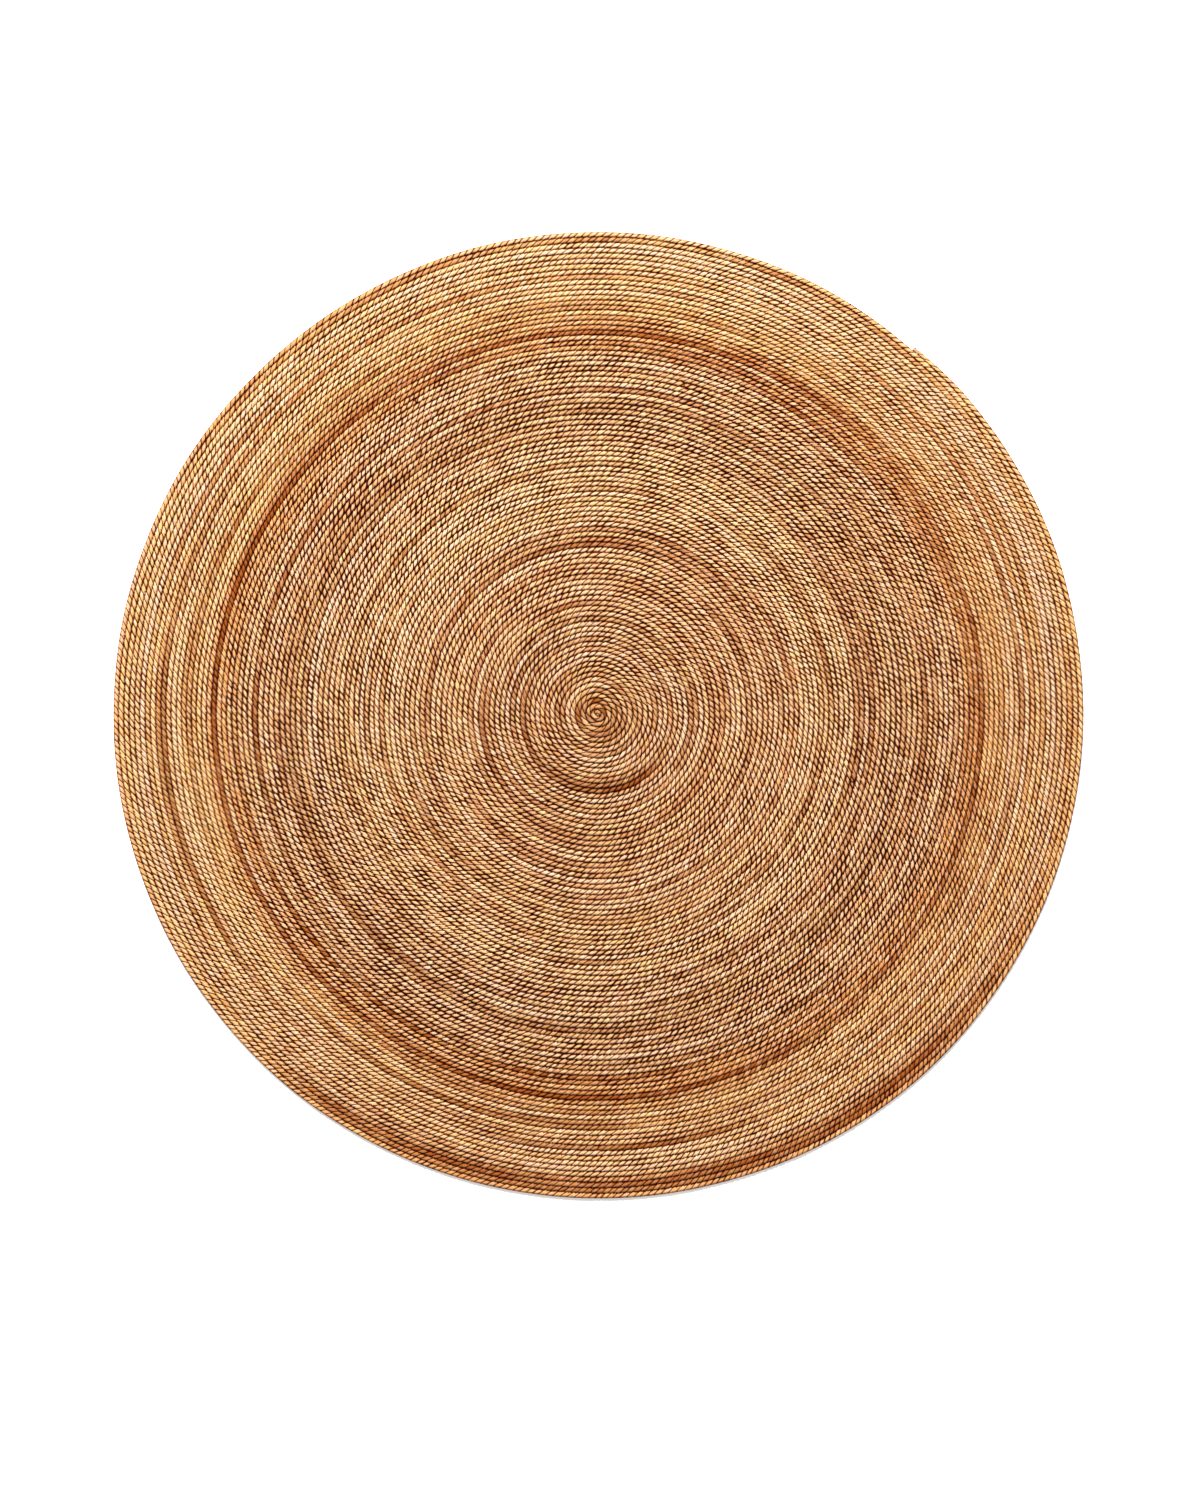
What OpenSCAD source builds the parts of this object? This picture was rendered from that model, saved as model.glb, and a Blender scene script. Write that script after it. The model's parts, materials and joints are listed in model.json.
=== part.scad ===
// Round floor rug made of two-ply natural-fibre rope.
// The rope lies flat in one spiral that runs outward anticlockwise, seen from above.
// It comes in sixteen lengths that meet end to end. A sewing thread in the groove of
// the underside ties every turn to the one inside it, and the cut end at the rim is
// tapered and whipped with thread.
// The spiral is drawn as half circles about two middles that are half a pitch apart,
// so that each half turn runs smoothly into the next and the pitch stays the same.
// +Z is up, z = 0 is the floor, and the origin is under the middle of the outline.

/* [Rope] */
// Distance between the middles of neighbouring turns
turn_pitch = 9.8; // [8:0.1:13]
// Space left between neighbouring turns
turn_gap = 0.24; // [0.1:0.02:0.4]
// Height pressed flat off the rope's round underside
press_depth = 0.36; // [0.2:0.02:0.8]

/* [Coil] */
// Whole turns from the middle to the rim
whole_turns = 93; // [80:1:100]
// Angle from the last whole turn to the rope's cut end
tail_angle = 49; // [30:1:80]
// How much of a full rope length the innermost one still has
first_share = 0.7; // [0.5:0.1:1]

/* [Sewing] */
// Diameter of the sewing thread
thread_d = 1.6; // [1:0.1:2]

/* [Tail] */
// Angle at the rim over which the rope's end is tapered
taper_angle = 8; // [4:1:12]
// Width of the tapered end as a share of the full rope
tail_share = 0.62; // [0.5:0.02:0.7]
// Diameter of the whipping thread
whip_d = 0.9; // [0.6:0.1:1.2]
// Wraps of thread in the whipping
whip_wraps = 12; // [6:1:16]

/* [Hidden] */
ROPES = 16;                                // rope lengths in the coil
SMOOTH = 256;                              // facets in a full turn of the coil
ROUND = 12;                                // facets round a rope
ROUND_THREAD = 16;                         // facets round a thread
JOIN_STEP = 24;                            // rope lengths meet at a whole 1/24 of a turn

rope_r = (turn_pitch - turn_gap) / 2;
rope_z = rope_r - press_depth;             // height of the rope's middle
half_pitch = turn_pitch / 2;
all_turns = whole_turns + tail_angle / 360;
first_r = half_pitch;                      // radius of the innermost half turn

thread_r = thread_d / 2;
thread_reach = rope_r + thread_r;          // from a rope's middle to the thread's
thread_z = rope_z - sqrt(pow(thread_reach, 2) - pow(half_pitch, 2));

taper_steps = 4;
tail_r = rope_r * tail_share;
whip_pitch = whip_d * 0.9;
tail_lift = whip_d + 0.1;                  // the whipped end stands clear of the floor
whip_angle = 0.5;                          // from the whipping's middle to the cut end

STRAW = [0.80, 0.62, 0.41];
TAN = [0.74, 0.55, 0.38];
UMBER = [0.68, 0.49, 0.34];
RUSSET = [0.69, 0.46, 0.29];
GOLD = [0.78, 0.58, 0.37];
THREAD = [0.62, 0.48, 0.33];
// The rope lengths' colours, from the middle out
tints = [UMBER, TAN, TAN, STRAW, STRAW, TAN, UMBER, TAN,
         TAN, RUSSET, GOLD, GOLD, STRAW, GOLD, TAN, GOLD];

function two_digits(i) = i < 10 ? str("0", i) : str(i);
function rope_name(i) = str("rope_length_", two_digits(i));
function thread_name(i) = str("seam_thread_", two_digits(i));

// The turn at which rope length i ends. All lengths but the first are equally long,
// and the length of a spiral grows with the square of its turns.
function join_turn(i) =
    i <= 0 ? 0 :
    i >= ROPES ? all_turns :
    round(JOIN_STEP * all_turns * sqrt((i - 1 + first_share) / (ROPES - 1 + first_share))) / JOIN_STEP;

// Half turn j goes round the back when j is even, and round the front when it is odd
function half_turn_x(j) = (j % 2 == 0 ? -1 : 1) * turn_pitch / 4;
function half_turn_start(j) = j % 2 == 0 ? 0 : 180;
function half_turn_r(j) = first_r + j * half_pitch;

// Puts the middle of the rug's outline on the origin
module on_origin() {
    translate([-turn_pitch / 4, turn_pitch / 4, 0])
        children();
}

// Sweeps a section, drawn r out from the turning axis, along half turn j between two
// shares of the half turn
module along_half_turn(j, from, to) {
    translate([half_turn_x(j), 0, 0])
        rotate([0, 0, half_turn_start(j)])
            rotate_extrude(start = 180 * from, angle = 180 * (to - from), $fn = SMOOTH)
                children();
}

// A rope of radius r, standing on the floor with its inner side on the rope_r line
module rope_section(out, r, lift = 0) {
    intersection() {
        translate([out - rope_r + r, r - press_depth + lift])
            circle(r, $fn = ROUND);
        translate([out - 2 * turn_pitch, 0])
            square([4 * turn_pitch, 4 * turn_pitch]);
    }
}

// The spiral between two turn counts, with a full rope section
module rope_between(turn_a, turn_b) {
    for (j = [floor(2 * turn_a):ceil(2 * turn_b) - 1])
        along_half_turn(j, max(2 * turn_a, j) - j, min(2 * turn_b, j + 1) - j)
            rope_section(half_turn_r(j), rope_r);
}

// The seam between the turns and the ones inside them, with a thread section
module thread_between(turn_a, turn_b) {
    for (j = [floor(2 * turn_a):ceil(2 * turn_b) - 1])
        along_half_turn(j, max(2 * turn_a, j) - j, min(2 * turn_b, j + 1) - j)
            translate([half_turn_r(j) - half_pitch, thread_z])
                circle(thread_r, $fn = ROUND_THREAD);
}

// The rope's first end, rounded, in the middle of the coil
module rope_start() {
    translate([half_turn_x(0) + first_r, 0, 0])
        rotate([0, 0, 180])
            rotate_extrude(angle = 180, $fn = ROUND * 2)
                intersection() {
                    rope_section(0, rope_r);
                    square(2 * turn_pitch);
                }
}

// The rope's last end, stepped down in width
module rope_tail() {
    last = 2 * whole_turns;
    step = taper_angle / taper_steps / 180;
    for (k = [1:taper_steps])
        along_half_turn(last, tail_angle / 180 - (taper_steps - k + 1) * step,
                        tail_angle / 180 - (taper_steps - k) * step)
            rope_section(half_turn_r(last), rope_r - (rope_r - tail_r) * k / taper_steps,
                         tail_lift * k / taper_steps);
}

// Rope length i of the coil
module rope_length(i) {
    color(tints[i - 1])
        on_origin() {
            if (i == 1) rope_start();
            rope_between(join_turn(i - 1), join_turn(i) - (i == ROPES ? taper_angle / 360 : 0));
            if (i == ROPES) rope_tail();
        }
}

// The thread that sews rope length i to the turn inside it
module seam_thread(i) {
    color(THREAD)
        on_origin()
            thread_between(max(0.5, join_turn(i - 1)), join_turn(i));
}

// Wraps of thread that hold the cut end together
module tail_whipping() {
    last = 2 * whole_turns;
    color(THREAD)
        on_origin()
            translate([half_turn_x(last), 0, 0])
                rotate([0, 0, tail_angle - whip_angle])
                    translate([half_turn_r(last) - rope_r + tail_r, 0,
                               tail_r - press_depth + tail_lift])
                        rotate([90, 0, 0])
                            rotate_extrude($fn = ROUND * 2)
                                for (k = [0:whip_wraps - 1])
                                    translate([tail_r + whip_d / 2,
                                               (k - (whip_wraps - 1) / 2) * whip_pitch])
                                        circle(whip_d / 2, $fn = ROUND_THREAD);
}

for (i = [1:ROPES])
    rope_length(i);
for (i = [1:ROPES])
    seam_thread(i);
tail_whipping();
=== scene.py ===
"""Round rug of coiled two-ply rope, seen from straight above.

The rope is one spiral in sixteen lengths. Each length is drawn as its two twisted plies, and the
sewing threads of the underside and the whipping of the cut end as real thread. Lengths are in
metres, angles in radians unless a name says degrees, and places along the rope are given either
in turns from the middle or in metres from the rope's first end.
"""

import json
import math

import bpy
import numpy as np
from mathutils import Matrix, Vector


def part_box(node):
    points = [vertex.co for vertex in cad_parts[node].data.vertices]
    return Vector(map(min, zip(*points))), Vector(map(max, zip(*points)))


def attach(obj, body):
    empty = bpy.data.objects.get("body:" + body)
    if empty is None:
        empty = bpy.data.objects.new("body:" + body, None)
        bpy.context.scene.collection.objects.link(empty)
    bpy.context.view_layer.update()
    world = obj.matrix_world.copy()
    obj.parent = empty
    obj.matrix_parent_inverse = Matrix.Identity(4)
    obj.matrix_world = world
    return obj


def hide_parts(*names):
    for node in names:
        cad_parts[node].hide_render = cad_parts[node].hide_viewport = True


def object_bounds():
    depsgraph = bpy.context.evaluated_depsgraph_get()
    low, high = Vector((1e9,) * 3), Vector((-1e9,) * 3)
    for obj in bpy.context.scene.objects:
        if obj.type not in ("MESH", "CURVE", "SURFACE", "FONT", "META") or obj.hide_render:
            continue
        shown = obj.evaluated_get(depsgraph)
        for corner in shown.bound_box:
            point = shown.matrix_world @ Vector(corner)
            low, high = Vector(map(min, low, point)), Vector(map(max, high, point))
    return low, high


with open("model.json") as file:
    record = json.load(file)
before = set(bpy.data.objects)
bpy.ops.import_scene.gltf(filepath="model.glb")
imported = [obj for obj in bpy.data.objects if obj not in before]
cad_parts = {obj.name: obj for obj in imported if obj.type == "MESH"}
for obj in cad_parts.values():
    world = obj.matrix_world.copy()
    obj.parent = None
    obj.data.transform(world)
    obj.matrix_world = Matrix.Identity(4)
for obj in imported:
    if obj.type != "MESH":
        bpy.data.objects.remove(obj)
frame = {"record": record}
CAD_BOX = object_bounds()
CAD_LOW, CAD_HIGH = CAD_BOX
SLOT_OF = {part["node"]: part["material_slot"] for part in frame["record"]["subparts"]}
COLOUR_OF = {row["slot"]: row["base_color"] for row in frame["record"]["materials"]}

# The coil, as the CAD model has it
ROPES = 16
WHOLE_TURNS = 93
TAIL_SHARE_OF_TURN = 49 / 360
ALL_TURNS = WHOLE_TURNS + TAIL_SHARE_OF_TURN
FIRST_SHARE = 0.7
JOIN_STEP = 24
TURN_GAP = 0.00024
PITCH = (CAD_HIGH.x - CAD_LOW.x + TURN_GAP) / (2 * WHOLE_TURNS + 1)
ROPE_R = (PITCH - TURN_GAP) / 2
ROPE_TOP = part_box("rope_length_08")[1].z
PRESS = 2 * ROPE_R - ROPE_TOP
TAPER_TURNS = 8 / 360
TAIL_SIZE = 0.62
TAIL_LIFT = 0.001
COIL_MIDDLE = np.array([-PITCH / 4, PITCH / 4])
UP = np.array([0, 0, 1])

# Seeds of the smooth noises
SEED_TWIST, SEED_SIZE, SEED_FAT, SEED_SWAY, SEED_SHADE, SEED_WARMTH, SEED_PLY, SEED_DEPTH = range(8)
SEED_TWIST_BY_TURN = 50
SEED_SHADE_QUICK = 104
SEED_SHADE_SHORT = 204
SEED_WARMTH_QUICK = 105
KNOTS = 4096                # before a noise repeats


# ---------------------------------------------------------------- noise

def noise_1d(x, seed):
    """Smooth noise from -1 to 1 with a knot at every whole x."""
    knots = np.random.default_rng(seed).uniform(-1, 1, KNOTS)
    cell = np.floor(x).astype(int)
    share = x - cell
    ease = share * share * (3 - 2 * share)
    return knots[cell % KNOTS] * (1 - ease) + knots[(cell + 1) % KNOTS] * ease


# ---------------------------------------------------------------- the coil

# The turns lie looser and tighter in rings
LOOSENESS = 0.002
LOOSE_EVERY = 0.32
LOOSE_FROM = 0.262
LOOSE_RATE = 2 * math.pi / LOOSE_EVERY
CALM_R = 0.12               # and nearer the middle they stray less and less
# Lobes round the rug, how far each moves the turns, and how fast it leans with the radius
SWAYS = [
    (2, 0.0009, 3.0),
    (3, 0.0008, -5.0),
    (5, 0.0005, 7.0),
    (9, 0.0003, -9.0),
    (17, 0.00022, 16.0),
]
# How far one turn strays from its neighbours, and over what length
SWAY_ALONE = 0.00025
SWAY_EVERY = 0.11
# How much thicker and thinner the rope gets, and over what length
UNEVEN_SIZE = 0.025
SIZE_EVERY = 0.35
START_REACH = 0.97          # how far the rounded first end reaches, in rope radii


def join_turn(i):
    """The turn at which rope length i ends."""
    if i <= 0:
        return 0.0
    if i >= ROPES:
        return ALL_TURNS
    share = (i - 1 + FIRST_SHARE) / (ROPES - 1 + FIRST_SHARE)
    return round(JOIN_STEP * ALL_TURNS * math.sqrt(share)) / JOIN_STEP


def length_to(turn):
    """Rope used up to a turn: half turn j is half a circle of radius (j + 1) half pitches."""
    j = math.floor(2 * turn)
    return math.pi * PITCH / 4 * (j * (j + 1) + 2 * (2 * turn - j) * (j + 1))


def turn_at(along):
    """The turns reached at these lengths along the rope."""
    along = np.maximum(along, 0)
    j = np.floor((np.sqrt(1 + 16 * along / (math.pi * PITCH)) - 1) / 2)
    rest = along - math.pi * PITCH / 4 * j * (j + 1)
    return (j + rest / (math.pi * PITCH / 2 * (j + 1))) / 2


def settled(points):
    """Moves points of the floor plan as the turns lie, looser here and tighter there."""
    rel = points - COIL_MIDDLE
    radius = np.maximum(np.hypot(rel[:, 0], rel[:, 1]), 1e-6)
    angle = np.arctan2(rel[:, 1], rel[:, 0])
    shift = LOOSENESS * np.sin(LOOSE_RATE * (radius - LOOSE_FROM))
    for lobes, reach, lean in SWAYS:
        shift = shift + reach * np.sin(lobes * angle + lean * radius + lobes ** 2)
    shift = shift * np.minimum(radius / CALM_R, 1)
    return points + rel / radius[:, None] * shift[:, None]


def looseness_at(radius):
    """How much wider than usual the turns are at a radius, as a share."""
    return LOOSENESS * LOOSE_RATE * np.cos(LOOSE_RATE * (radius - LOOSE_FROM))


def centre_line(along):
    """Middle of the rope on the floor plan at these lengths, the outward directions and the turns."""
    turn = turn_at(along)
    half_turn = np.floor(2 * turn)
    radius = (half_turn + 1) * PITCH / 2
    angle = 2 * math.pi * turn
    out = np.stack([np.cos(angle), np.sin(angle)], axis=1)
    side = np.where(half_turn % 2 == 0, -1, 1)
    middle = np.stack([(side - 1) * PITCH / 4, np.full(len(turn), PITCH / 4)], axis=1)
    ahead = np.stack([-out[:, 1], out[:, 0]], axis=1)
    points = middle + radius[:, None] * out + np.minimum(along, 0)[:, None] * ahead
    return points, out, turn


def rope_size(along, turn, radius):
    """The rope's thickness at these places, as a share of the usual, and how far into its tail."""
    size = (1 + looseness_at(radius)) * (1 + UNEVEN_SIZE * noise_1d(along / SIZE_EVERY, SEED_SIZE))
    start = np.clip(-along / ROPE_R, 0, START_REACH)
    tail = np.clip((turn - ALL_TURNS + TAPER_TURNS) / TAPER_TURNS, 0, 1)
    return size * np.sqrt(1 - start ** 2) * (1 - (1 - TAIL_SIZE) * tail), tail


def rope_path(along):
    """The rope's middle at these lengths, with the outward directions, the turns and the sizes."""
    plan, out, turn = centre_line(along)
    radius = np.hypot(*(plan - COIL_MIDDLE).T)
    size, tail = rope_size(along, turn, radius)
    stray = SWAY_ALONE * noise_1d(along / SWAY_EVERY, SEED_SWAY)
    plan = settled(plan) + out * ((size - 1) * ROPE_R * (tail > 0) + stray)[:, None]
    height = size * ROPE_R - PRESS + TAIL_LIFT * tail
    level = np.column_stack([out, np.zeros(len(out))])
    return np.column_stack([plan, height]), level, turn, size


# ---------------------------------------------------------------- meshes

ROW_EDGE = 0.06             # empty edge of a row of the UV map, as a share of the row


def tube(name, rings, uv_rows=0):
    """A closed tube through rings of points, an array of rings by sides by three."""
    count, sides = rings.shape[:2]
    first = np.arange(count - 1)[:, None] * sides
    side = np.arange(sides)[None, :]
    after = (side + 1) % sides
    around = [first + side, first + sides + side, first + sides + after, first + after]
    quads = np.stack(around, axis=-1)
    caps = np.concatenate([np.arange(sides), (count - 1) * sides + np.arange(sides)[::-1]])
    corners = np.concatenate([quads.ravel(), caps])
    starts = np.concatenate([np.arange(quads.size // 4) * 4, quads.size + np.array([0, sides])])
    mesh = bpy.data.meshes.new(name)
    mesh.vertices.add(count * sides)
    mesh.vertices.foreach_set("co", rings.astype(np.float32).ravel())
    mesh.loops.add(len(corners))
    mesh.loops.foreach_set("vertex_index", corners.astype(np.int32))
    mesh.polygons.add(len(starts))
    mesh.polygons.foreach_set("loop_start", starts.astype(np.int32))
    mesh.polygons.foreach_set("use_smooth", np.ones(len(starts), bool))
    mesh.update(calc_edges=True)
    if uv_rows:
        lay_out_in_rows(mesh, count, sides, uv_rows)
    piece = bpy.data.objects.new(name, mesh)
    bpy.context.scene.collection.objects.link(piece)
    return piece


def lay_out_in_rows(mesh, count, sides, rows):
    """A UV map with the tube laid out in straight rows, so that baked textures keep one scale."""
    ring = np.arange(count - 1)[:, None, None]
    side = np.arange(sides)[None, :, None]
    ring_step = np.array([0, 1, 1, 0])[None, None, :]
    side_step = np.array([0, 0, 1, 1])[None, None, :]
    per_row = math.ceil((count - 1) / rows)
    u = (ring % per_row + ring_step) / per_row + 0 * side
    v = (ring // per_row + ROW_EDGE + (1 - 2 * ROW_EDGE) * (side + side_step) / sides) / rows
    quads = np.stack([u + 0 * v, v + 0 * u], axis=-1).reshape(-1, 2)
    caps = np.zeros((2 * sides, 2))
    layer = mesh.uv_layers.new(name="OFBake")
    layer.data.foreach_set("uv", np.concatenate([quads, caps]).astype(np.float32).ravel())


def point_data(piece, name, values):
    """Stores a number or a vector at each vertex of a piece."""
    kind, field = ("FLOAT_VECTOR", "vector") if values.ndim == 2 else ("FLOAT", "value")
    layer = piece.data.attributes.new(name, kind, "POINT")
    layer.data.foreach_set(field, values.astype(np.float32).ravel())


# ---------------------------------------------------------------- plies

LAY = 0.0257                # length over which a ply goes once round the rope
RINGS_PER_LAY = 10
PLY_SIDES = 7
PLY_OUT = 0.20              # a ply's middle from the rope's middle, as a share of the rope's width
PLY_THICK = 0.30            # a ply's half thickness, as the same share
PLY_WIDE = 0.44             # a ply's half width, as the same share
PLY_NEAR = 0.004            # how near a ply comes to the rope's middle, as the same share
PLY_R = 0.0031              # turns an angle round a ply into a length of its girth
PLY_GIRTH = 0.022           # round a ply, with the empty edge of its row
AROUND = 2 * math.pi * np.arange(PLY_SIDES) / PLY_SIDES

# How unevenly the rope is laid: radians gained or lost, and over what length or over half a turn
UNEVEN_TWIST = [(34, 2.3), (7, 0.47), (1.2, 0.13), (0.5, 0.045)]
UNEVEN_TURNS = 1.6
# How much fatter and slimmer a ply gets, and over what length
UNEVEN_FAT = 0.16
FAT_EVERY = 0.03
OTHER_PLY = 50              # knots along a noise between the two plies, for each radian

TOUCH = -0.00005            # how far a ply stays from the line between two turns
SPREAD = 1.0                # how much wider than round a turn lies
SPREAD_BELOW = 1.3          # and how much wider still at the floor
JOIN_TAPER = 0.004          # length over which a ply narrows where two ropes meet
JOIN_SIZE = 0.8


def ply(i, letter, half_way_round):
    """One of the two plies of rope length i."""
    start = length_to(join_turn(i - 1)) if i > 1 else -START_REACH * ROPE_R
    end = length_to(join_turn(i))
    along = np.linspace(start, end, math.ceil((end - start) / LAY * RINGS_PER_LAY) + 1)
    middle, level, turn, size = rope_path(along)
    width = width_at(i, along, start, end, size)
    fat = 1 + UNEVEN_FAT * noise_1d(along / FAT_EVERY + OTHER_PLY * half_way_round, SEED_FAT)
    turned = twist(along, turn, half_way_round)
    rings, off_middle = ply_rings(middle, level, turned, width, fat)
    rings = pressed(rings, middle, level, size)

    rows = round(math.sqrt((end - start) / PLY_GIRTH))
    piece = tube(f"rope_length_{i:02}_ply_{letter}", rings, rows)
    # Painted shade in the hollows, from the mesh's own shape and darker at some turns
    painted_hollow_shade = painted_shade_in_hollows(rings, middle, level, turn, size, off_middle) * painted_shade_strength(along, turn)
    point_data(piece, "painted_hollow_shade", painted_hollow_shade.ravel())
    point_data(piece, "fibre", fibre_places(along, half_way_round))
    shade, warmth = tone(along, turn)
    shade += PLY_APART * noise_1d(along / PLY_APART_EVERY + OTHER_PLY * half_way_round, SEED_PLY)
    point_data(piece, "shade", np.repeat(shade, PLY_SIDES))
    point_data(piece, "warmth", np.repeat(warmth, PLY_SIDES))
    node = f"rope_length_{i:02}"
    finish(piece, SLOT_OF[node], node)


def width_at(i, along, start, end, size):
    """The rope's width, which narrows where two lengths meet."""
    near_join = np.minimum(along - start, end - along) / JOIN_TAPER
    narrowed = JOIN_SIZE + (1 - JOIN_SIZE) * np.clip(near_join, 0, 1)
    return 2 * ROPE_R * size * np.where((i > 1) | (along > ROPE_R), narrowed, 1)


def twist(along, turn, half_way_round):
    """The angle by which a ply has gone round the rope's middle."""
    turned = 2 * math.pi * along / LAY + half_way_round
    for reach, every in UNEVEN_TWIST:
        turned += reach * noise_1d(along / every, SEED_TWIST)
    return turned + UNEVEN_TURNS * noise_1d(turn * 2, SEED_TWIST_BY_TURN)


def ply_rings(middle, level, turned, width, fat):
    """Rings of a ply's oval section, and how far their points are from the rope's middle."""
    outward = np.cos(turned)[:, None] * level + np.sin(turned)[:, None] * UP
    across = -np.sin(turned)[:, None] * level + np.cos(turned)[:, None] * UP
    reach = width[:, None] * np.maximum(PLY_OUT + PLY_THICK * np.cos(AROUND), PLY_NEAR)
    spread = (width * fat)[:, None] * PLY_WIDE * np.sin(AROUND)
    rings = middle[:, None] + reach[..., None] * outward[:, None] + spread[..., None] * across[:, None]
    return rings, np.hypot(reach, spread)


def out_of_middle(rings, middle, level):
    """How far outward of the rope's middle each point lies."""
    return np.einsum("ijk,ik->ij", rings - middle[:, None], level)


def pressed(rings, middle, level, size):
    """Flattens a ply where it meets the next turn or the floor."""
    sideways = out_of_middle(rings, middle, level)
    most = (size * PITCH / 2 - TOUCH)[:, None]
    below = np.clip((middle[:, None, 2] - rings[..., 2]) / ROPE_R, 0, 1)
    wider = np.clip((SPREAD + SPREAD_BELOW * below) * sideways, -most, most)
    rings += (wider - sideways)[..., None] * level[:, None]
    rings[..., 2] = np.maximum(rings[..., 2], 0)
    return rings


def fibre_places(along, half_way_round):
    """Places along the rope, round the ply and which ply, for the grain of the material."""
    shape = (len(along), PLY_SIDES)
    around = np.broadcast_to(AROUND * PLY_R, shape)
    places = [np.broadcast_to(along[:, None], shape), around, np.full(shape, half_way_round)]
    return np.stack(places, axis=-1).reshape(-1, 3)


# ---------------------------------------------------------------- painted shade in the hollows, and tones

# How dark the painted shade in the crease between the plies is, next to the groove between turns, at
# these turns
CREASE_TURNS = [70, 77]
CREASE_PAINTED_SHADE = [0.56, 0.44]
# The crease's painted shade starts this near the rope's middle and is full after this much more, in
# rope radii
CREASE_FROM = 0.97
CREASE_OVER = 0.16
# The painted shade in the groove starts this far above or below the rope's middle, and is full after
# this much more
GROOVE_FROM = 0.73
GROOVE_OVER = 0.3
GROOVE_BELOW = 0.25         # below the middle it is full after this much, in rope radii
PINCH = 0.00015             # above, it is painted dark where a turn stays this far from the next
# How dark the painted shade on the rim's own side is, and over how much of the way down it darkens
RIM_SIDE_PAINTED_SHADE = 0.7
OUTER_OVER = 0.3
# How dark the painted shade in the hollows is at these turns, and how much and over what length that
# varies
DEPTH_TURNS = [0, 6, 12, 36, 40, 46, 70, 76, 90]
DEPTHS = [0.95, 1.05, 1.2, 1.2, 1.15, 1.35, 1.36, 1.02, 1.02]
UNEVEN_DEPTH = 0.18
DEPTH_EVERY = 0.02

# Drifts of tone: how strong, knots a turn, and seed
SHADE_DRIFTS = [(0.5, 3.1, SEED_SHADE), (0.42, 9.3, SEED_SHADE_QUICK)]
WARMTH_DRIFTS = [(0.4, 2.3, SEED_WARMTH), (0.4, 8.7, SEED_WARMTH_QUICK)]
SHADE_SHORT = 0.3
SHADE_SHORT_EVERY = 0.12
# How much lighter one ply is than the other, and over what length that changes
PLY_APART = 0.3
PLY_APART_EVERY = 0.7

# Stained stretches: first and last turn, from and to which angle in degrees (past a whole circle
# for a ring that closes), how much darker and how much redder
STAINS = [
    (-1.0, 4.0, -20, 380, 0.7, -0.4),
    (3.5, 8.0, -20, 380, 0.25, -0.2),
    (13.8, 14.7, 180, 310, 0.9, 0.1),
    (12.0, 15.3, 150, 320, 0.3, 0.2),
    (20.0, 23.0, -20, 380, 0.12, 0.0),
    (44.0, 45.4, 0, 90, 0.3, 0.6),
    (51.5, 55.8, 350, 95, 0.2, 0.5),
    (64.0, 74.5, -20, 380, 0.12, 0.1),
    (72.5, 74.9, -20, 380, 0.7, 1.3),
    (71.5, 74.5, 215, 335, 0.1, 0.4),
    (73.7, 74.7, 225, 300, 0.4, 0.5),
    (88.5, 93.2, 225, 330, 0.5, 0.6),
    (76.0, 93.2, 240, 345, 0.1, 0.15),
    (74.5, 92.0, 110, 225, 0.0, -0.35),
    (30.0, 40.0, 90, 270, 0.0, -0.3),
]
STAIN_FADE_DEG = 12
STAIN_FADE_TURNS = 0.5


def painted_shade_in_hollows(rings, middle, level, turn, size, off_middle):
    """How much painted shade each point takes: by how deep it lies in the crease between the plies or
    the groove between turns, and on the rim's own side.
    """
    radius = (ROPE_R * size)[:, None]
    height = middle[:, None, 2]
    level_off = np.abs(rings[..., 2] - height) / radius
    outward = out_of_middle(rings, middle, level)
    crease = np.interp(turn, CREASE_TURNS, CREASE_PAINTED_SHADE)[:, None]
    # Painted shade in the crease between the plies and in the groove between turns
    between_plies = crease * np.clip((CREASE_FROM - off_middle / radius) / CREASE_OVER, 0, 1)
    pinched = np.clip((size[:, None] * PITCH / 2 - np.abs(outward)) / PINCH, 0, 1)
    below = np.clip((height - rings[..., 2]) / (GROOVE_BELOW * ROPE_R), 0, 1)
    groove = np.clip((GROOVE_FROM - level_off) / GROOVE_OVER, 0, 1) * np.maximum(pinched, below)
    # Painted shade on the outermost turn's own outer side
    rim = RIM_SIDE_PAINTED_SHADE * np.clip((1.0 - level_off) / OUTER_OVER, 0, 1)
    outer_side = (outward > 0) & (turn > ALL_TURNS - 1)[:, None]
    return np.maximum(between_plies, np.where(outer_side, rim, groove))


def painted_shade_strength(along, turn):
    """How dark the painted shade in the hollows is at these places along the rope."""
    uneven = 1 + UNEVEN_DEPTH * noise_1d(along / DEPTH_EVERY, SEED_DEPTH)
    return (np.interp(turn, DEPTH_TURNS, DEPTHS) * uneven)[:, None]


def drift(turn, drifts):
    """Several noises along the turns, added up."""
    return sum(reach * noise_1d(turn * knots, seed) for reach, knots, seed in drifts)


def tone(along, turn):
    """How light and how red the fibre is along the rope: drifts and the stained stretches."""
    shade = drift(turn, SHADE_DRIFTS)
    shade += SHADE_SHORT * noise_1d(along / SHADE_SHORT_EVERY, SEED_SHADE_SHORT)
    warmth = drift(turn, WARMTH_DRIFTS)
    for first, last, from_deg, to_deg, darker, redder in STAINS:
        inside = inside_stretch(turn, first, last, from_deg, to_deg)
        shade = shade - darker * inside
        warmth = warmth + redder * inside
    return shade, warmth


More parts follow.
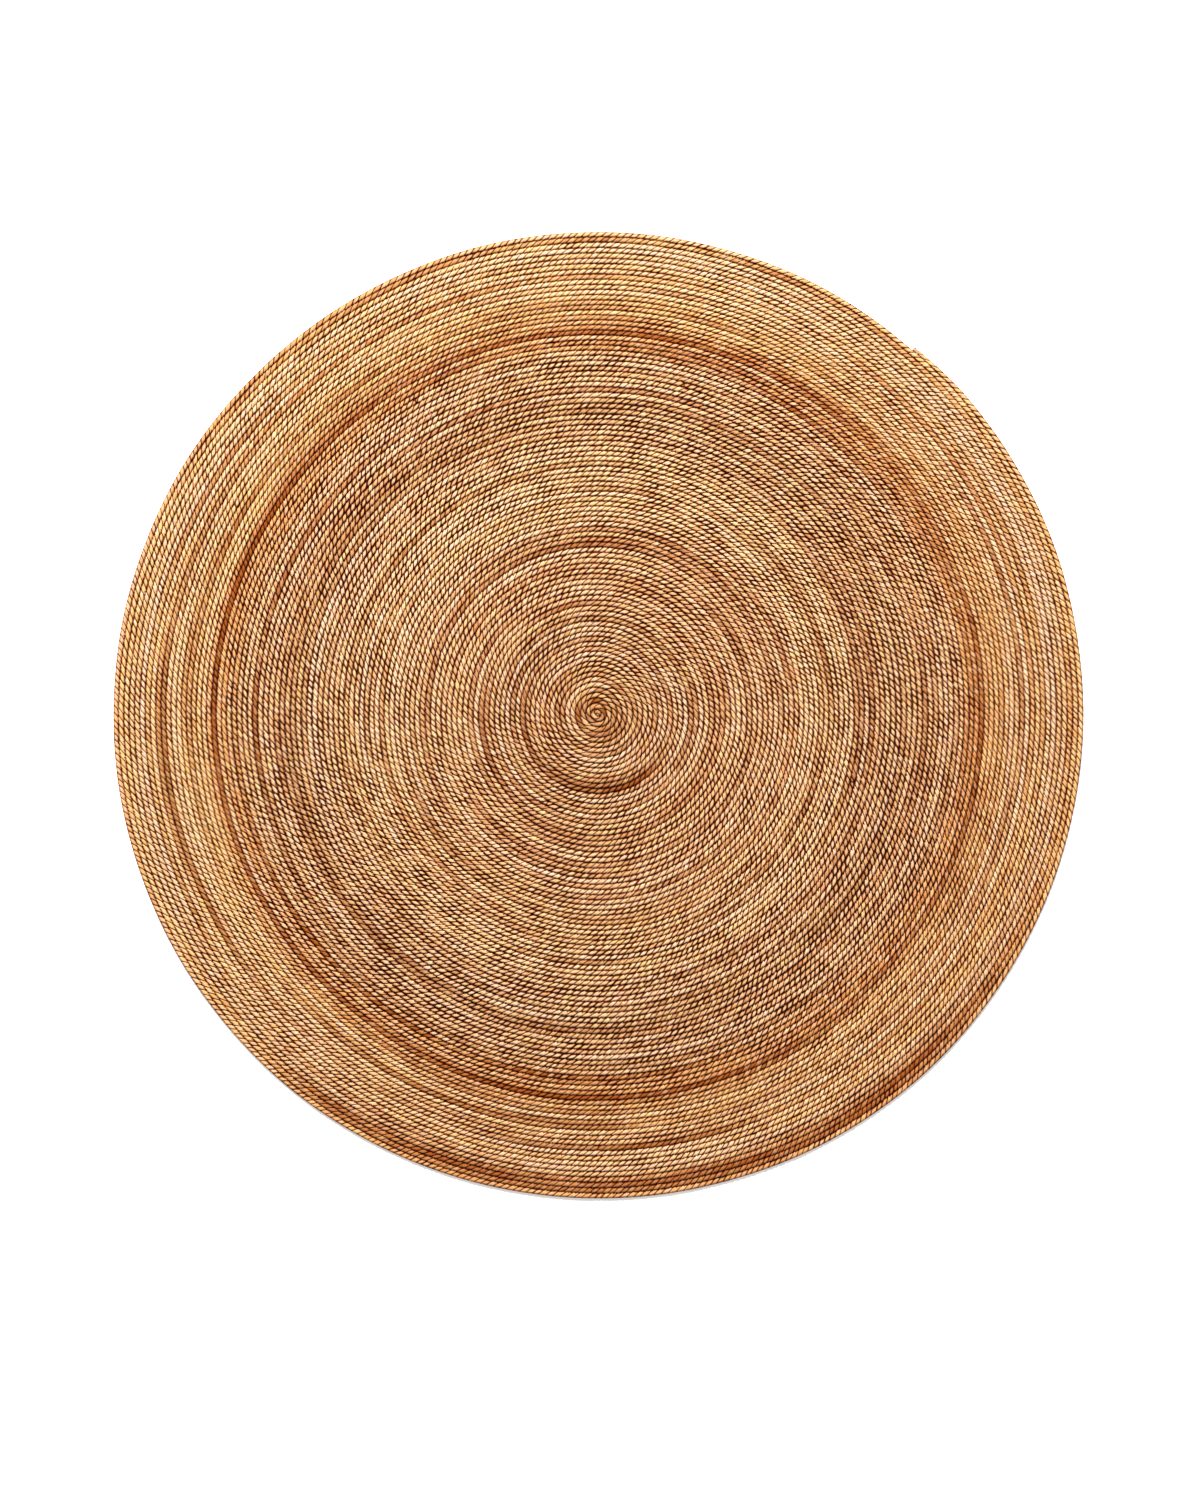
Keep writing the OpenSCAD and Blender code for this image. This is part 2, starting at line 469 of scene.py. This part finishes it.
def inside_stretch(turn, first, last, from_deg, to_deg):
    """How much these places are inside a stretch of some turns and angles, from 0 to 1."""
    place = turn % 1 * 360
    centre, half = (from_deg + to_deg) / 2, (to_deg - from_deg) / 2
    off = np.abs((place - centre + 180) % 360 - 180)
    by_angle = np.clip((half - off) / STAIN_FADE_DEG, 0, 1)
    after_first = np.clip((turn - first) / STAIN_FADE_TURNS, 0, 1)
    before_last = np.clip((last - turn) / STAIN_FADE_TURNS, 0, 1)
    return by_angle * after_first * before_last


# ---------------------------------------------------------------- thread

THREAD_R = 0.0008
THREAD_SIDES = 5
SEAM_LOW, SEAM_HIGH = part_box("seam_thread_08")
SEAM_Z = (SEAM_LOW.z + SEAM_HIGH.z) / 2
SEAM_START_TURN = 0.5       # the innermost half turn has nothing inside it to be sewn to
STITCH = 0.024              # from one stitch to the next on the same side
STITCH_REACH = 0.0005
STITCH_DIP = 0.0006
SWING = np.array([1, 0, -1, 0])
WHIP_R = 0.00045
WHIP_PITCH = 1.8 * WHIP_R
WHIP_WRAPS = 12
WHIP_STEPS = 16             # for each wrap
WHIP_SIDES = 6


def seam_thread(i):
    """The thread that slants to and fro over the seam below and ties each turn to the last."""
    start = length_to(max(SEAM_START_TURN, join_turn(i - 1)))
    end = length_to(join_turn(i))
    along = np.linspace(start, end, math.ceil((end - start) / STITCH * len(SWING)) + 1)
    plan, out, _ = centre_line(along)
    swing = SWING[np.arange(len(along)) % len(SWING)]
    plan = settled(plan - out * PITCH / 2) + out * (STITCH_REACH * swing)[:, None]
    height = SEAM_Z - STITCH_DIP * np.abs(swing)
    middle = np.column_stack([plan, height])
    rings = swept_circle(middle, THREAD_R, THREAD_SIDES)
    piece = tube(f"seam_thread_{i:02}_stitches", rings)
    point_data(piece, "fibre", np.repeat(middle, THREAD_SIDES, axis=0))
    # Painted shade on the thread's upper half, where it lies under the rope
    upward = (rings[..., 2] - height[:, None]) / THREAD_R
    point_data(piece, "painted_hollow_shade", np.clip(upward + 0.5, 0, 1).ravel())
    finish(piece, "sewing_thread", f"seam_thread_{i:02}")


def swept_circle(middle, radius, sides):
    """Rings of a round section along a path."""
    ahead = np.gradient(middle, axis=0)
    ahead /= np.linalg.norm(ahead, axis=1)[:, None]
    level = np.cross(ahead, UP)
    level /= np.linalg.norm(level, axis=1)[:, None]
    rise = np.cross(level, ahead)
    beta = 2 * math.pi * np.arange(sides) / sides
    return (middle[:, None] + radius * np.cos(beta)[None, :, None] * level[:, None]
            + radius * np.sin(beta)[None, :, None] * rise[:, None])


def tail_whipping():
    """Thread wound round the rope's cut end."""
    low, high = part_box("tail_whipping")
    centre = settled(np.array([[(low.x + high.x) / 2, (low.y + high.y) / 2]]))[0]
    angle = math.atan2(centre[1], centre[0])
    out = np.array([math.cos(angle), math.sin(angle), 0])
    ahead = np.array([-math.sin(angle), math.cos(angle), 0])
    radius = ROPE_R * TAIL_SIZE + WHIP_R
    turned = np.linspace(0, 2 * math.pi * WHIP_WRAPS, WHIP_WRAPS * WHIP_STEPS + 1)
    along = (turned / (2 * math.pi) - WHIP_WRAPS / 2) * WHIP_PITCH
    middle = (np.append(centre, (low.z + high.z) / 2) + along[:, None] * ahead
              + radius * np.cos(turned)[:, None] * out + radius * np.sin(turned)[:, None] * UP)
    piece = tube("tail_whipping_thread", swept_round_axis(middle, turned, ahead, out))
    point_data(piece, "fibre", np.repeat(middle, WHIP_SIDES, axis=0))
    finish(piece, "sewing_thread", "tail_whipping")


def swept_round_axis(middle, turned, axis, out):
    """Rings of a round section along a coil about an axis."""
    outward = np.cos(turned)[:, None] * out + np.sin(turned)[:, None] * UP
    beta = 2 * math.pi * np.arange(WHIP_SIDES) / WHIP_SIDES
    return (middle[:, None] + WHIP_R * np.cos(beta)[None, :, None] * outward[:, None]
            + WHIP_R * np.sin(beta)[None, :, None] * axis)


# ---------------------------------------------------------------- materials

# Painted shade: the darkest colour of the hollows, and the brown that they are multiplied by
PAINTED_SHADE_DARKEST = (0.022, 0.002, 0.0001)
PAINTED_SHADE_BROWN = (0.42, 0.13, 0.02)
DARKENED = (0.42, 0.20, 0.07)
RED = (0.50, 0.22, 0.07)
GOLDEN = (0.58, 0.39, 0.15)
STRAWY = (0.62, 0.43, 0.17)
PALE = (0.67, 0.505, 0.385)

# Noises along the fibres: knots a metre along the rope, round the ply and across plies, and detail
GRAINS = {
    "strands": ((70.0, 2600.0, 31.0), 3.0),
    "twists": ((75.0, 0.0, 17.0), 0.0),
    "tints": ((21.0, 0.0, 41.0), 1.0),
    "flecks": ((190.0, 420.0, 53.0), 1.0),
}
# Tints laid over a rope's own colour, in this order: what steers each one, the values where it
# starts and is full, its full share, its colour, and how it is laid on
LAYERS = [
    ("warmth", 0.0, 1.0, 0.75, RED, "MIX"),
    ("warmth", 0.0, -1.0, 0.6, GOLDEN, "MIX"),
    ("shade", 0.0, 1.2, 0.65, PALE, "MIX"),
    ("twists", 0.5, 0.75, 0.45, PALE, "MIX"),
    ("twists", 0.45, 0.25, 0.3, RED, "MIX"),
    ("tints", 0.52, 0.7, 0.6, STRAWY, "MIX"),
    ("tints", 0.48, 0.3, 0.4, RED, "MIX"),
    ("shade", 0.0, -1.2, 1.0, DARKENED, "MULTIPLY"),
    ("strands", 0.62, 0.3, 0.5, DARKENED, "MULTIPLY"),
    ("flecks", 0.7, 0.8, 0.7, DARKENED, "MULTIPLY"),
    # The last two are painted shade in the hollows
    ("painted_hollow_shade", 0.2, 0.7, 1.0, PAINTED_SHADE_BROWN, "MULTIPLY"),
    ("painted_hollow_shade", 0.5, 0.95, 0.98, PAINTED_SHADE_DARKEST, "MIX"),
]
NOISE_LOW, NOISE_HIGH = 0.3, 0.7        # the range that a noise texture mostly stays in
# Roughness at the low and the high end of the noise, and the strength and height of the relief
ROPE_ROUGH = (0.7, 0.42)
ROPE_RELIEF = (0.6, 0.00025)
ROPE_SPECULAR = 0.1
ROPE_GLEAM = (1.0, 0.78, 0.55, 1)
THREAD_GRAIN = ((900.0, 900.0, 900.0), 2.0)
THREAD_DARKER = (0.65, 0.35, 0.0, 0.8)  # from and to which noise, and how much darker at each
THREAD_ROUGH = (0.9, 0.65)
THREAD_RELIEF = (0.5, 0.0002)
MADE = {}                   # materials, by slot


def add(tree, kind, inputs=None, **settings):
    """A node with its settings and its inputs, each a value or a link from another node."""
    made = tree.nodes.new(kind)
    for name, value in settings.items():
        setattr(made, name, value)
    for name, value in (inputs or {}).items():
        if isinstance(value, bpy.types.NodeSocket):
            tree.links.new(value, made.inputs[name])
        else:
            made.inputs[name].default_value = value
    return made


def stored(tree, name):
    """A vertex number or vector from the mesh."""
    made = add(tree, "ShaderNodeAttribute", attribute_name=name)
    return made.outputs["Vector"] if name == "fibre" else made.outputs["Fac"]


def grain(tree, vector, per_metre, detail):
    """Noise stretched along the fibres, with its own number of knots a metre each way."""
    scaled = add(tree, "ShaderNodeVectorMath", {0: vector, 1: per_metre}, operation="MULTIPLY")
    inputs = {"Vector": scaled.outputs[0], "Scale": 1.0, "Detail": detail}
    return add(tree, "ShaderNodeTexNoise", inputs).outputs["Fac"]


def between(tree, value, low, high, to_low=0.0, to_high=1.0):
    """Maps a range of a value to another, and holds it there."""
    inputs = {"Value": value, "From Min": low, "From Max": high, "To Min": to_low, "To Max": to_high}
    return add(tree, "ShaderNodeMapRange", inputs).outputs["Result"]


def mix(tree, share, a, b, blend="MIX"):
    """Two colours mixed by a share."""
    made = add(tree, "ShaderNodeMix", {0: share, 6: a, 7: b}, data_type="RGBA", blend_type=blend)
    return made.outputs[2]


def roughen(tree, shader, noise, roughness, relief):
    """Roughness and fine relief that follow a noise, on top of the mesh's own shape."""
    rough = between(tree, noise, NOISE_LOW, NOISE_HIGH, *roughness)
    tree.links.new(rough, shader.inputs["Roughness"])
    inputs = {"Height": noise, "Strength": relief[0], "Distance": relief[1]}
    tree.links.new(add(tree, "ShaderNodeBump", inputs).outputs[0], shader.inputs["Normal"])


def new_material(name):
    """An empty material, with its tree and its shader."""
    made = bpy.data.materials.new(name)
    made.use_nodes = True
    return made, made.node_tree, made.node_tree.nodes["Principled BSDF"]


def rgba(colour):
    """A colour with full alpha."""
    return (*colour, 1.0)


def rope_material(slot):
    """Dry plant fibre: drifting tints, a shade for each visible twist, strands, and painted shade in
    the hollows.
    """
    made, tree, shader = new_material(slot)
    fibre = stored(tree, "fibre")
    steers = {name: stored(tree, name) for name in ("warmth", "shade", "painted_hollow_shade")}
    for name, (per_metre, detail) in GRAINS.items():
        steers[name] = grain(tree, fibre, per_metre, detail)
    colour = rgba(COLOUR_OF[slot])
    for name, start, full, share, tint, blend in LAYERS:
        laid = between(tree, steers[name], start, full, 0.0, share)
        colour = mix(tree, laid, colour, rgba(tint), blend)
    tree.links.new(colour, shader.inputs["Base Color"])
    roughen(tree, shader, steers["strands"], ROPE_ROUGH, ROPE_RELIEF)
    shader.inputs["Specular IOR Level"].default_value = ROPE_SPECULAR
    shader.inputs["Specular Tint"].default_value = ROPE_GLEAM
    return made


def thread_material(slot):
    """Matt twine, with painted shade on top, where it lies under the rope."""
    made, tree, shader = new_material(slot)
    twisted = grain(tree, stored(tree, "fibre"), *THREAD_GRAIN)
    laid = between(tree, twisted, *THREAD_DARKER)
    colour = mix(tree, laid, rgba(COLOUR_OF[slot]), rgba(DARKENED), "MULTIPLY")
    colour = mix(tree, stored(tree, "painted_hollow_shade"), colour, rgba(PAINTED_SHADE_DARKEST))
    tree.links.new(colour, shader.inputs["Base Color"])
    roughen(tree, shader, twisted, THREAD_ROUGH, THREAD_RELIEF)
    return made


def finish(piece, slot, node):
    """Gives a piece its material and puts it in its CAD node's place."""
    if slot not in MADE:
        MADE[slot] = thread_material(slot) if slot == "sewing_thread" else rope_material(slot)
    piece.data.materials.append(MADE[slot])
    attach(piece, "root")
    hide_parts(node)


# ---------------------------------------------------------------- studio

FLOOR_HALF = 30
FLOOR_DROP = 0.0005         # keeps the floor clear of the rug's underside
FLOOR_COLOUR = (0.93, 0.93, 0.93, 1)
FLOOR_GLOW = 0.3
FILL_COLOUR = (1, 0.95, 0.87, 1)
FILL = 0.5
KEY_COLOUR = (1.0, 0.985, 0.99)
KEY = 1235.0
KEY_SIZE = 1.4
KEY_PLACE = (-0.8, 4.3, 5.3)
CAMERA_HEIGHT = 7.0
PICTURE_WIDTH = 2.267
PICTURE_MIDDLE = (0.0025, -0.0656)


def floor():
    """A plain pale floor."""
    far = FLOOR_HALF
    corners = [(-far, -far, 0), (far, -far, 0), (far, far, 0), (-far, far, 0)]
    mesh = bpy.data.meshes.new("floor")
    mesh.from_pydata(corners, [], [(0, 1, 2, 3)])
    plane = bpy.data.objects.new("floor", mesh)
    plane.location.z = -FLOOR_DROP
    bpy.context.scene.collection.objects.link(plane)
    made, _, shader = new_material("floor")
    shader.inputs["Base Color"].default_value = FLOOR_COLOUR
    shader.inputs["Roughness"].default_value = 0.9
    shader.inputs["Specular IOR Level"].default_value = 0.1
    shader.inputs["Emission Color"].default_value = (1, 1, 1, 1)
    shader.inputs["Emission Strength"].default_value = FLOOR_GLOW
    mesh.materials.append(made)


def lights():
    """A warm white surround and one soft light from the far side, a little to the left."""
    world = bpy.data.worlds.new("studio")
    bpy.context.scene.world = world
    world.use_nodes = True
    background = world.node_tree.nodes["Background"]
    background.inputs["Color"].default_value = FILL_COLOUR
    background.inputs["Strength"].default_value = FILL
    lamp = bpy.data.lights.new("key", "AREA")
    lamp.shape = "SQUARE"
    lamp.size = KEY_SIZE
    lamp.energy = KEY
    lamp.color = KEY_COLOUR
    key = bpy.data.objects.new("key", lamp)
    key.location = KEY_PLACE
    key.rotation_euler = (Vector((0, 0, 0)) - key.location).to_track_quat("-Z", "Y").to_euler()
    bpy.context.scene.collection.objects.link(key)


def camera():
    """Straight above, with the rug a little above the middle of the picture."""
    lens = bpy.data.cameras.new("camera")
    lens.sensor_fit = "HORIZONTAL"
    lens.sensor_width = 36
    lens.lens = lens.sensor_width * CAMERA_HEIGHT / PICTURE_WIDTH
    eye = bpy.data.objects.new("camera", lens)
    eye.location = (*PICTURE_MIDDLE, CAMERA_HEIGHT + ROPE_TOP)
    bpy.context.scene.collection.objects.link(eye)
    bpy.context.scene.camera = eye


# ---------------------------------------------------------------- all of it

bpy.context.scene.view_settings.view_transform = "Standard"
camera()
lights()
floor()
for number in range(1, ROPES + 1):
    ply(number, "a", 0.0)
    ply(number, "b", math.pi)
    seam_thread(number)
tail_whipping()
